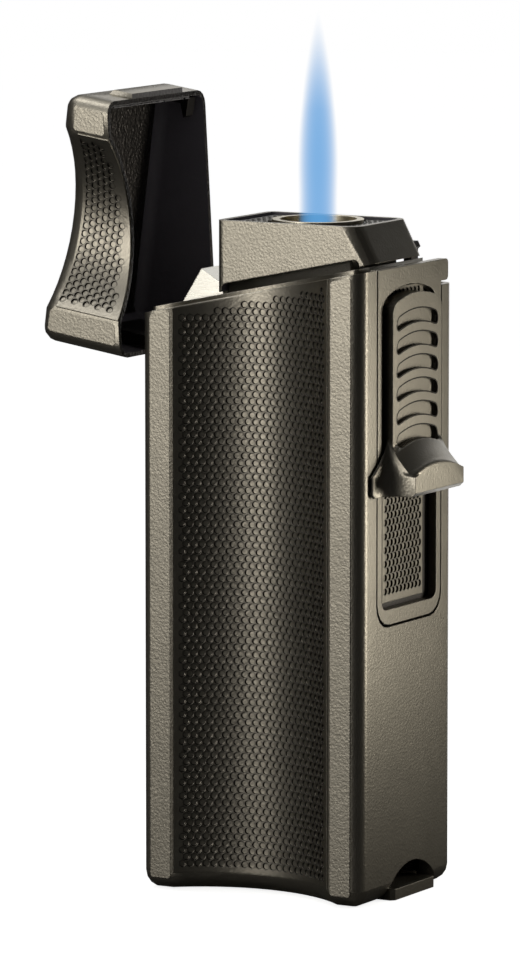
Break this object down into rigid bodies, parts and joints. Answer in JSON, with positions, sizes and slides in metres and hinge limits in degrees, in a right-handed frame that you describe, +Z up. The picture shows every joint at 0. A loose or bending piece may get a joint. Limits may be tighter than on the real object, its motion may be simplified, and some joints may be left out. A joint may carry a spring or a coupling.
{
  "type": "butane torch",
  "caption": "Pocket butane torch with a concave metal case, flip lid, boxed burner head, ridged thumb slider and fold-out punch cutter in the base.",
  "frame": {"origin": "middle of the case, on the flat base face", "axes": "+Z up, +X towards the thumb slider's side, -Y the concave front"},
  "size_m": [0.0506, 0.0246, 0.1004],
  "materials": {
    "satin_gunmetal": "satin",
    "black_metal": "matte",
    "bright_nickel": "polished",
    "pale_brass": "satin",
    "spring_steel": "bright",
    "tank_resin": "translucent",
    "black_resin": "matte",
    "seal_rubber": "matte"
  },
  "bodies": {
    "case": {"case_shell": "satin_gunmetal", "side_plate": "satin_gunmetal", "track_plate": "black_metal", "torch_head": "satin_gunmetal", "screen_plate": "black_metal", "burner_ring": "pale_brass", "burner_nozzle": "pale_brass", "top_deck": "satin_gunmetal", "hinge_block": "bright_nickel", "hinge_pin": "spring_steel", "lid_spring": "spring_steel", "latch_pin": "spring_steel", "punch_pin": "spring_steel", "base_plate": "satin_gunmetal", "base_screw_1": "spring_steel", "base_screw_2": "spring_steel", "fuel_tank": "tank_resin", "filler_valve_body": "pale_brass", "filler_seal_ring": "seal_rubber", "inner_frame": "black_resin", "outlet_valve_body": "pale_brass", "lever_pin": "spring_steel", "gas_hose": "seal_rubber", "mixing_tube": "pale_brass", "spark_electrode": "spring_steel", "ignition_wire": "black_resin", "piezo_housing": "black_resin", "slider_spring": "spring_steel"},
    "lid": {"lid_shell": "satin_gunmetal", "lid_hinge_plate": "black_metal", "lid_catch": "black_metal"},
    "slider": {"thumb_slider": "satin_gunmetal", "slider_carriage": "black_resin"},
    "punch": {"punch_arm": "satin_gunmetal", "punch_cutter": "bright_nickel"},
    "filler": {"filler_stem": "bright_nickel"},
    "adjuster": {"flame_adjuster": "pale_brass"},
    "lift_stem": {"valve_stem": "pale_brass"},
    "lever": {"valve_lever": "bright_nickel"},
    "plunger": {"piezo_plunger": "black_resin"},
    "latch": {"lid_latch": "bright_nickel"}
  },
  "joints": [
    {"name": "lid_hinge", "type": "hinge", "parent": "case", "child": "lid", "pos_m": [-0.0136, 0, 0.0686], "axis": [0, 1, 0], "range_deg": [0, 81.4]},
    {"name": "slider_slide", "type": "slide", "parent": "case", "child": "slider", "axis": [0, 0, -1], "range_m": [0, 0.0055], "stiffness_N_per_m": 400, "springref_m": -0.003, "deforming": ["slider_spring"]},
    {"name": "plunger_slide", "type": "slide", "parent": "case", "child": "plunger", "axis": [0, 0, -1], "range_m": [0, 0.0055]},
    {"name": "lever_hinge", "type": "hinge", "parent": "case", "child": "lever", "pos_m": [0.003, 0.0062, 0.0441], "axis": [0, 1, 0], "range_deg": [0, 8]},
    {"name": "stem_lift", "type": "slide", "parent": "case", "child": "lift_stem", "axis": [0, 0, 1], "range_m": [0, 0.0007]},
    {"name": "latch_hinge", "type": "hinge", "parent": "case", "child": "latch", "pos_m": [0.011, 0.0096, 0.07], "axis": [0, -1, 0], "range_deg": [0, 6]},
    {"name": "punch_swing", "type": "hinge", "parent": "case", "child": "punch", "pos_m": [0.003, 0.001, 0.0017], "axis": [0, 1, 0], "range_deg": [0, 90]},
    {"name": "filler_press", "type": "slide", "parent": "case", "child": "filler", "axis": [0, 0, 1], "range_m": [0, 0.001], "stiffness_N_per_m": 600, "springref_m": -0.001},
    {"name": "adjuster_turn", "type": "hinge", "parent": "case", "child": "adjuster", "pos_m": [-0.002, 0.0062, 0.0003], "axis": [0, 0, 1], "range_deg": [-135, 135]}
  ],
  "couplings": [
    {"joint": "plunger_slide", "follows": "slider_slide", "ratio": 1},
    {"joint": "lever_hinge", "follows": "slider_slide", "rad_per_m": 23.483},
    {"joint": "stem_lift", "follows": "slider_slide", "ratio": 0.12},
    {"joint": "latch_hinge", "follows": "slider_slide", "rad_per_m": 18.405}
  ]
}
